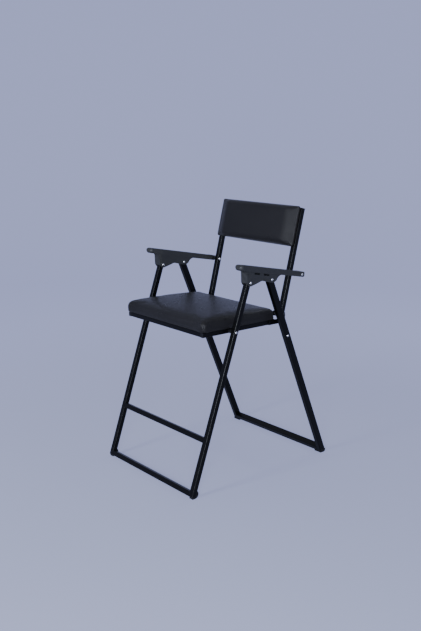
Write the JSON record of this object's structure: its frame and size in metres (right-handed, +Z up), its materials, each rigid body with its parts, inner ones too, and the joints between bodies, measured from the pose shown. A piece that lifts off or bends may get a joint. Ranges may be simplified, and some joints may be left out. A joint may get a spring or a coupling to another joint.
{
  "type": "folding bar stool",
  "caption": "Tall folding stool with padded seat and back, arms and a footrest; square-tube frames, arms, back and seat fold together flat.",
  "frame": {"origin": "on the floor, under the middle of the box round the open stool", "axes": "+Z up, -Y is the side that the sitter faces, +X is the sitter's left"},
  "size_m": [0.646, 0.817, 1.1584],
  "materials": {
    "black_tube": "semi-gloss black powder coat",
    "black_plastic": "satin black moulded plastic",
    "arm_plastic": "dark grey moulded plastic with a fine grain",
    "rivet_steel": "zinc-plated, satin",
    "axle_steel": "black oxide",
    "board": "black stained plywood",
    "vinyl": "soft black vinyl with a fine grain"
  },
  "bodies": {
    "rear_frame": {"rear_leg_left": "black_tube", "rear_leg_right": "black_tube", "rear_floor_bar": "black_tube", "rear_foot_left": "black_plastic", "rear_foot_right": "black_plastic", "leg_rivet_left": "rivet_steel", "leg_rivet_right": "rivet_steel"},
    "armrests": {"armrest_left": "arm_plastic", "armrest_right": "arm_plastic", "arm_front_pin_left": "rivet_steel", "arm_front_pin_right": "rivet_steel", "arm_rear_pin_left": "rivet_steel", "arm_rear_pin_right": "rivet_steel", "arm_bushes_left": "black_plastic", "arm_bushes_right": "black_plastic", "back_bolt_left": "rivet_steel", "back_bolt_right": "rivet_steel", "back_spacer_left": "black_plastic", "back_spacer_right": "black_plastic"},
    "front_frame": {"front_leg_left": "black_tube", "front_leg_right": "black_tube", "footrest_bar": "black_tube", "front_floor_bar": "black_tube", "front_foot_left": "black_plastic", "front_foot_right": "black_plastic", "seat_rivet_left": "rivet_steel", "seat_rivet_right": "rivet_steel"},
    "back": {"back_post_left": "black_tube", "back_post_right": "black_tube", "post_caps_left": "black_plastic", "post_caps_right": "black_plastic", "back_clevis_left": "black_tube", "back_clevis_right": "black_tube", "axle_nut_left": "axle_steel", "axle_nut_right": "axle_steel", "hinge_axle": "axle_steel", "back_board": "board", "back_screws": "rivet_steel", "back_pad": "vinyl"},
    "seat": {"seat_rail_left": "black_tube", "seat_rail_right": "black_tube", "seat_ear_left": "black_tube", "seat_ear_right": "black_tube", "seat_spacer_left": "black_plastic", "seat_spacer_right": "black_plastic", "seat_bolt_left": "rivet_steel", "seat_bolt_right": "rivet_steel", "seat_rail_front": "black_tube", "seat_rail_back": "black_tube", "rail_plugs": "black_plastic", "seat_board": "board", "seat_cushion": "vinyl"},
    "links": {"link_left": "black_tube", "link_right": "black_tube", "link_rivet_left": "rivet_steel", "link_rivet_right": "rivet_steel"}
  },
  "joints": [
    {"name": "back_fold", "type": "hinge", "parent": "armrests", "child": "back", "pos_m": [0, 0.1906, 0.875], "axis": [1, 0, 0], "range_deg": [0, 90]},
    {"name": "arm_fold", "type": "hinge", "parent": "rear_frame", "child": "armrests", "pos_m": [0, 0.0113, 0.872], "axis": [-1, 0, 0], "range_deg": [0, 46.2]},
    {"name": "front_leg_fold", "type": "hinge", "parent": "armrests", "child": "front_frame", "pos_m": [0, -0.1108, 0.871], "axis": [1, 0, 0], "range_deg": [0, 79.7]},
    {"name": "seat_fold", "type": "hinge", "parent": "back", "child": "seat", "pos_m": [0, 0.1158, 0.7], "axis": [-1, 0, 0], "range_deg": [0, 89.7]},
    {"name": "link_fold", "type": "hinge", "parent": "back", "child": "links", "pos_m": [0, 0.1158, 0.7], "axis": [-1, 0, 0], "range_deg": [0, 170.5]}
  ],
  "couplings": [
    {"joint": "arm_fold", "follows": "back_fold", "ratio": 0.5133},
    {"joint": "front_leg_fold", "follows": "back_fold", "ratio": 0.8855},
    {"joint": "seat_fold", "follows": "back_fold", "ratio": 0.9966},
    {"joint": "link_fold", "follows": "back_fold", "ratio": 1.8944}
  ]
}
